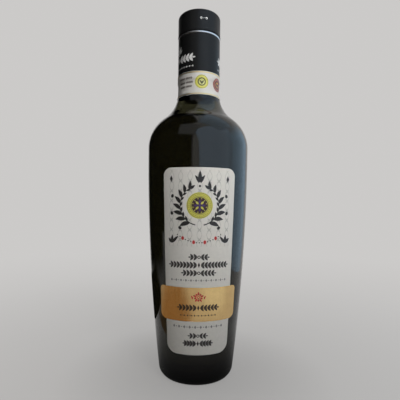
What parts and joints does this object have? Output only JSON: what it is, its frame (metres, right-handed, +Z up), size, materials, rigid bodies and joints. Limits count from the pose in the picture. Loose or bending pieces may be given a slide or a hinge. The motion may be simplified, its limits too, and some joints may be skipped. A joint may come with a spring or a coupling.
{
  "type": "olive oil bottle",
  "caption": "Round dark glass bottle of olive oil with a tapered body, a front label with a gold band, a neck label and a long black screw closure.",
  "frame": {"origin": "centre of the base on the surface that the bottle stands on", "axes": "+Z up along the bottle's axis; the front label faces -Y, +X to the right of someone who reads it"},
  "size_m": [0.0741, 0.0742, 0.2652],
  "materials": {
    "dark_glass": "glossy, very dark olive glass",
    "oil": "clear golden green liquid",
    "black_closure": "satin black lacquer on thin aluminium",
    "silver_ring": "bare satin metal",
    "label_paper": "matt uncoated paper, lightly embossed",
    "gold_foil": "satin gold foil paper"
  },
  "bodies": {
    "root": {"glass_bottle": "dark_glass", "olive_oil": "oil", "screw_cap": "black_closure", "tear_ring": "silver_ring", "cap_sleeve": "black_closure", "neck_label": "label_paper", "front_label": "label_paper", "gold_band": "gold_foil"}
  },
  "joints": []
}
